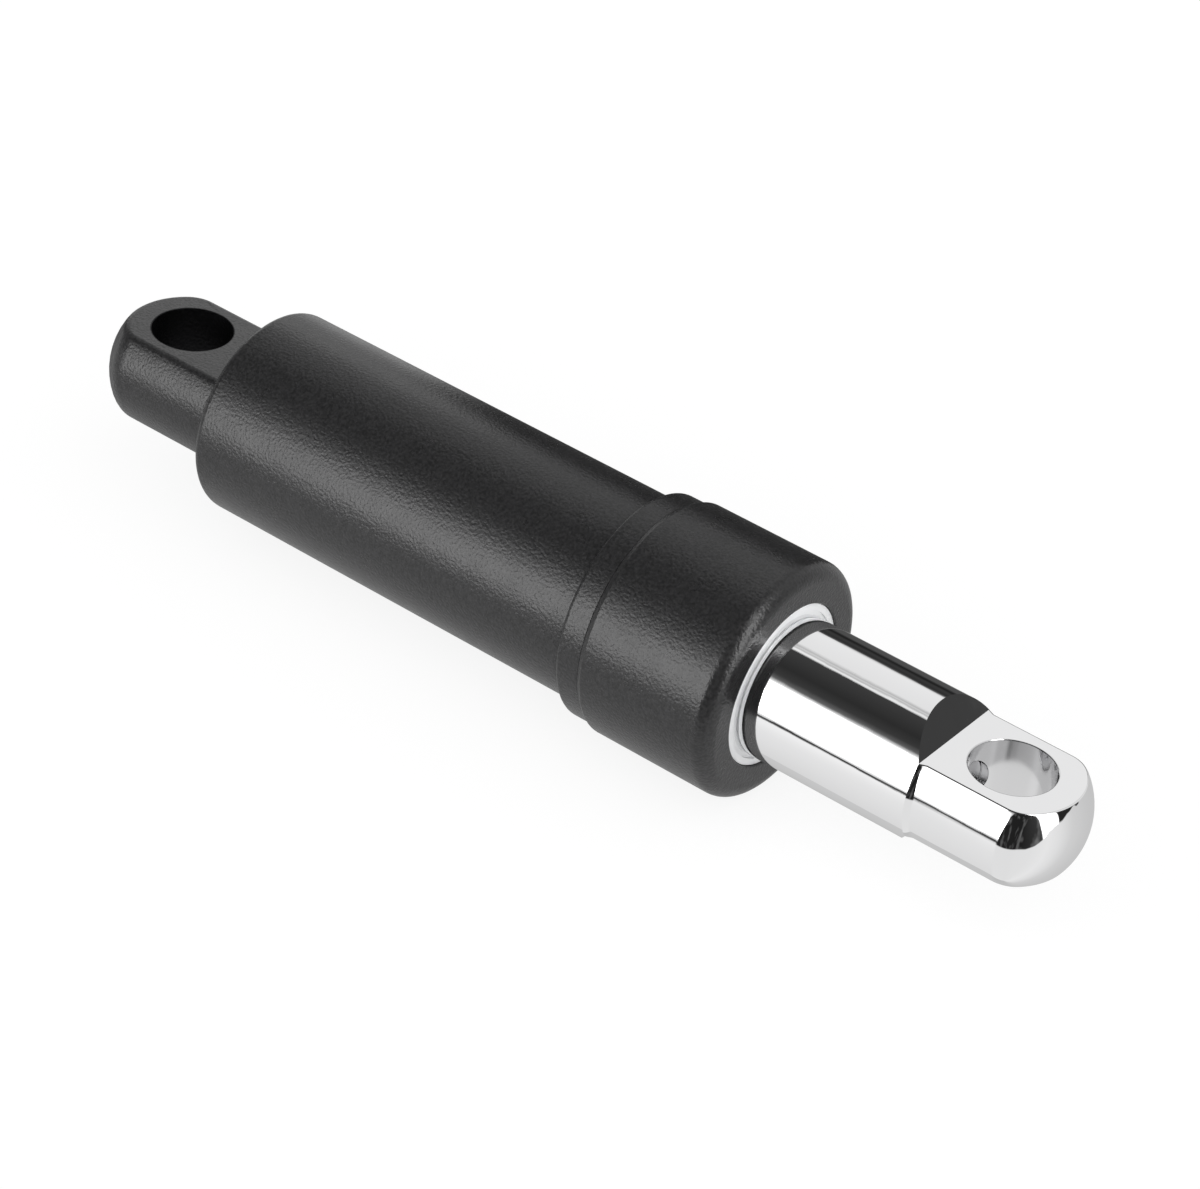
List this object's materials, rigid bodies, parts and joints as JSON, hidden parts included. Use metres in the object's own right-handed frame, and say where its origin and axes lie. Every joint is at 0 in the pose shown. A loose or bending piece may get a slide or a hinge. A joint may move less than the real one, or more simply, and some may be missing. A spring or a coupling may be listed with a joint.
{
  "type": "air shock absorber",
  "caption": "Compact gas and oil shock absorber: black barrel with a screwed collar, chromed rod, white wiper and a bored eye at each end.",
  "frame": {"origin": "centre of the base eye's bore", "axes": "+X along the shock from the base eye to the rod eye, +Z along both eye bores"},
  "size_m": [0.1453, 0.0306, 0.0306],
  "materials": {
    "black_paint": "satin black powder coat with a fine sandy grain",
    "chrome": "polished hard chrome",
    "steel": "bare turned steel",
    "alloy": "fine turned aluminium",
    "white_plastic": "smooth white plastic",
    "bronze": "dull sintered bronze",
    "rubber": "matt black rubber"
  },
  "bodies": {
    "barrel": {"barrel": "black_paint", "base_eye": "black_paint", "base_oring": "rubber", "bump_stop": "rubber", "lock_ring": "black_paint", "collar": "black_paint", "rod_guide": "alloy", "guide_bush": "bronze", "gland_oring": "rubber", "rod_seal": "rubber", "backup_ring": "white_plastic", "dust_wiper": "white_plastic"},
    "band": {"piston_band": "bronze"},
    "rod": {"rod": "chrome", "rod_eye": "chrome", "eye_oring": "rubber", "fill_screw": "steel", "fill_seal": "bronze", "piston": "alloy", "piston_oring": "rubber", "piston_shims": "steel", "piston_bolt": "steel", "spacer_sleeve": "alloy", "topout_bumper": "rubber"},
    "separator": {"separator_piston": "alloy", "separator_oring": "rubber"}
  },
  "joints": [
    {"name": "rod_slide", "type": "slide", "parent": "barrel", "child": "band", "axis": [1, 0, 0], "range_m": [-0.018, 0], "stiffness_N_per_m": 40000},
    {"name": "rod_turn", "type": "hinge", "parent": "band", "child": "rod", "pos_m": [0.0465, 0, 0], "axis": [1, 0, 0], "continuous": true},
    {"name": "separator_slide", "type": "slide", "parent": "rod", "child": "separator", "axis": [1, 0, 0], "range_m": [0, 0.0298]}
  ],
  "couplings": [
    {"joint": "separator_slide", "follows": "rod_slide", "ratio": -1.6531}
  ]
}
